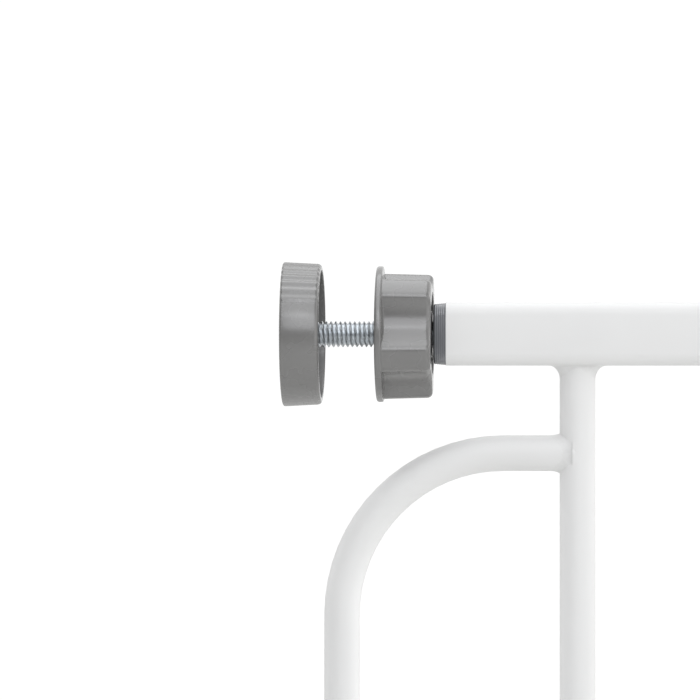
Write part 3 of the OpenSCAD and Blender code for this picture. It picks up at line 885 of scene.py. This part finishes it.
def screw_shell(points):
    """A detailed screw in place of one plain CAD screw, along the same axis."""
    low, high = extent(points)
    middle = (low + high) / 2
    size = high - low
    axis = max(range(3), key=lambda i: size[i])
    u, v = (i for i in range(3) if i != axis)
    widest, head_at = max((math.hypot(p[u] - middle[u], p[v] - middle[v]), p[axis]) for p in points)
    up = 1 if head_at > middle[axis] else -1
    tip = low[axis] if up > 0 else high[axis]
    rings = []
    for ring in screw_rings(size[axis] / MM, widest / MM):
        placed = []
        for r, a, along in ring:
            p = [0.0, 0.0, 0.0]
            p[axis] = tip / MM + up * along
            p[u] = middle[u] / MM + r * math.cos(a)
            p[v] = middle[v] / MM + r * math.sin(a)
            placed.append(tuple(p))
        rings.append(placed)
    return skin(rings)


def screws(node, body):
    make_piece(
        node + "_heads", [screw_shell(points) for points in solids_of(node)],
        IN_PLACE, body, ZINC, [node],
    )


screws("bracket_screws", "frame")
screws("housing_screws", "door")


# ---------- Button spring ----------

SPRING_WIRE = 0.8
SPRING_TURNS = 7
SPRING_STEPS = 24
WIRE_SIDES = 10


def button_spring():
    """Coil under the release button, a fixed helix of round wire filling the CAD spring's box."""
    low, high = (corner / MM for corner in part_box("button_spring"))
    middle = (low + high) / 2
    wire_r = SPRING_WIRE / 2
    coil_r = (high.y - low.y) / 2 - wire_r
    rise = high.z - low.z - SPRING_WIRE
    count = SPRING_TURNS * SPRING_STEPS
    rings = []
    for k in range(count + 1):
        turn = TAU * k / SPRING_STEPS
        z = low.z + wire_r + rise * k / count
        section = arc(Vector((coil_r, z)), wire_r, 0, TAU, WIRE_SIDES)[:-1]
        ring = []
        for p in section:
            ring.append((middle.x + p.x * math.cos(turn), middle.y + p.x * math.sin(turn), p.y))
        rings.append(ring)
    spring = make_piece(
        "button_spring_coil", [skin(rings)], IN_PLACE, "door", ZINC,
        ["button_spring"],
    )
    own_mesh(spring)


button_spring()


# ---------- Carried-over CAD nodes ----------

SLOT_MATERIALS = {
    "powder_coat_white": WHITE,
    "grey_plastic": GREY,
    "dark_grey_plastic": DARK,
    "zinc_steel": ZINC,
}
SOFT_EDGES = {"grey_plastic": 0.5, "dark_grey_plastic": 0.35}
SOFTER_EDGES = {"strike_housing": 1.2}
EDGE_SEGMENTS = 3
MERGE_DISTANCE = 1e-6
FLAT_ANGLE = math.radians(0.5)
EDGE_ANGLE = math.radians(35)


def soften_edges(node, width):
    """Joins a node's flat faces and bevels the edges between them, by a width in mm."""
    merge = node.modifiers.new("flat_faces", "DECIMATE")
    merge.decimate_type = "DISSOLVE"
    merge.angle_limit = FLAT_ANGLE
    bevel = node.modifiers.new("soft_edges", "BEVEL")
    bevel.width = width * MM
    bevel.segments = EDGE_SEGMENTS
    bevel.limit_method = "ANGLE"
    bevel.angle_limit = EDGE_ANGLE
    node.modifiers.new("face_normals", "WEIGHTED_NORMAL")


def finish_node(name, material, edge):
    """Gives a CAD node its material, smooth round faces and, where edge isn't 0, softened edges."""
    node = nodes[name]
    mesh = node.data
    if "custom_normal" in mesh.attributes:
        mesh.attributes.remove(mesh.attributes["custom_normal"])
    mesh.shade_smooth()
    mesh.materials.clear()
    mesh.materials.append(material)
    weld = node.modifiers.new("weld", "WELD")
    weld.merge_threshold = MERGE_DISTANCE
    if edge:
        soften_edges(node, edge)
    split = node.modifiers.new("sharp_edges", "EDGE_SPLIT")
    split.split_angle = EDGE_ANGLE
    split.use_edge_sharp = False


for part in frame["record"]["subparts"]:
    name = part["node"]
    slot_name = part["material_slot"]
    if not nodes[name].hide_render:
        edge = SOFTER_EDGES.get(name, SOFT_EDGES.get(slot_name, 0.0))
        finish_node(name, SLOT_MATERIALS[slot_name], edge)


# ---------- Floor, light and camera, in metres ----------

FLOOR_R = 7.0
FLOOR_SIDES = 128
ROOM_LEVEL = 0.63
ROOM_SLOPE = (0.06, 0.42, -0.02)    # change of the room's radiance along X, Y and Z
COOL = (0.96, 0.97, 1.0)
FAINTLY_COOL = (0.97, 0.98, 1.0)
NEUTRAL = (1.0, 1.0, 1.0)

SENSOR = 36
VIEW_WIDTH = 0.2114     # what the picture shows across at its target
VIEW_DISTANCE = 2.2
VIEW_YAW = math.radians(3.1)
VIEW_OUT = 0.0293       # target's distance outwards of the upper rail's end
VIEW_DROP = 0.0048      # and below the rail's axis


def make_floor():
    mesh = bpy.data.meshes.new("floor")
    rim = arc(Vector((0, 0)), FLOOR_R, 0, TAU, FLOOR_SIDES)[:-1]
    mesh.from_pydata([(p.x, p.y, 0) for p in rim], [], [list(range(FLOOR_SIDES))])
    shader = Shader("pale_floor", (0.80, 0.80, 0.79), 0.7)
    shader.vary_color(shader.noise(3), 0.98, 1.01)
    mesh.materials.append(shader.material)
    floor = bpy.data.objects.new("floor", mesh)
    bpy.context.scene.collection.objects.link(floor)


def make_world():
    """A studio whose radiance changes evenly from the dim room in front to the white backdrop."""
    world = bpy.data.worlds.new("studio")
    world.use_nodes = True
    bpy.context.scene.world = world
    tree = world.node_tree
    direction = tree.nodes.new("ShaderNodeTexCoord").outputs["Generated"]
    across = tree.nodes.new("ShaderNodeVectorMath")
    across.operation = "DOT_PRODUCT"
    across.inputs[1].default_value = ROOM_SLOPE
    tree.links.new(direction, across.inputs[0])
    level = tree.nodes.new("ShaderNodeMath")
    level.operation = "ADD"
    level.inputs[1].default_value = ROOM_LEVEL
    tree.links.new(across.outputs["Value"], level.inputs[0])
    room = tree.nodes["Background"]
    room.inputs["Color"].default_value = (1, 1, 1, 1)
    tree.links.new(level.outputs["Value"], room.inputs["Strength"])


def softbox(name, middle, aim, size, radiance, color):
    """Rectangular area light of that radiance, from middle towards aim, size[0] across in X."""
    data = bpy.data.lights.new(name, "AREA")
    data.shape = "RECTANGLE"
    data.size, data.size_y = size
    data.energy = radiance * math.pi * size[0] * size[1]
    data.color = color
    lamp = bpy.data.objects.new(name, data)
    lamp.location = middle
    lamp.rotation_mode = "QUATERNION"
    lamp.rotation_quaternion = (middle - aim).to_track_quat("Z", "Y")
    lamp.visible_camera = False
    bpy.context.scene.collection.objects.link(lamp)


def make_lights(target):
    """Strips overhead and in front, a box on the right, and a rim light behind on each side."""
    overhead = target + Vector((0, -0.7, 1.25))
    below = overhead - Vector((0, 0, 1))
    softbox("overhead_strip", overhead, below, (0.9, 2.9), 1.75, FAINTLY_COOL)
    above_camera = target + Vector((0.3, -2.5, 1.02))
    softbox("front_strip", above_camera, target, (1.5, 1.4), 2.4, COOL)
    beside = target + Vector((1.2, -0.95, 0.15))
    softbox("side_box", beside, target, (1.7, 1.4), 0.75, NEUTRAL)
    for name, side, radiance in (("left_rim_box", -1, 1.5), ("right_rim_box", 1, 2.2)):
        behind = target + Vector((1.5 * side, 0.5, 0.2))
        softbox(name, behind, target, (0.6, 1.6), radiance, NEUTRAL)


def make_camera(target):
    data = bpy.data.cameras.new("camera")
    data.sensor_width = SENSOR
    data.lens = SENSOR * VIEW_DISTANCE / VIEW_WIDTH
    data.clip_start = 0.1
    data.clip_end = 60
    camera = bpy.data.objects.new("camera", data)
    back = Vector((math.sin(VIEW_YAW), -math.cos(VIEW_YAW), 0))
    camera.location = target + back * VIEW_DISTANCE
    camera.rotation_mode = "QUATERNION"
    camera.rotation_quaternion = back.to_track_quat("Z", "Y")
    bpy.context.scene.collection.objects.link(camera)
    bpy.context.scene.camera = camera


rail_low, rail_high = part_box("upper_rail_left")
rail_axis = (rail_low.z + rail_high.z) / 2
view_centre = Vector((rail_low.x - VIEW_OUT, 0, rail_axis - VIEW_DROP))

make_floor()
make_world()
make_lights(view_centre)
make_camera(view_centre)
bpy.context.scene.view_settings.view_transform = "Standard"
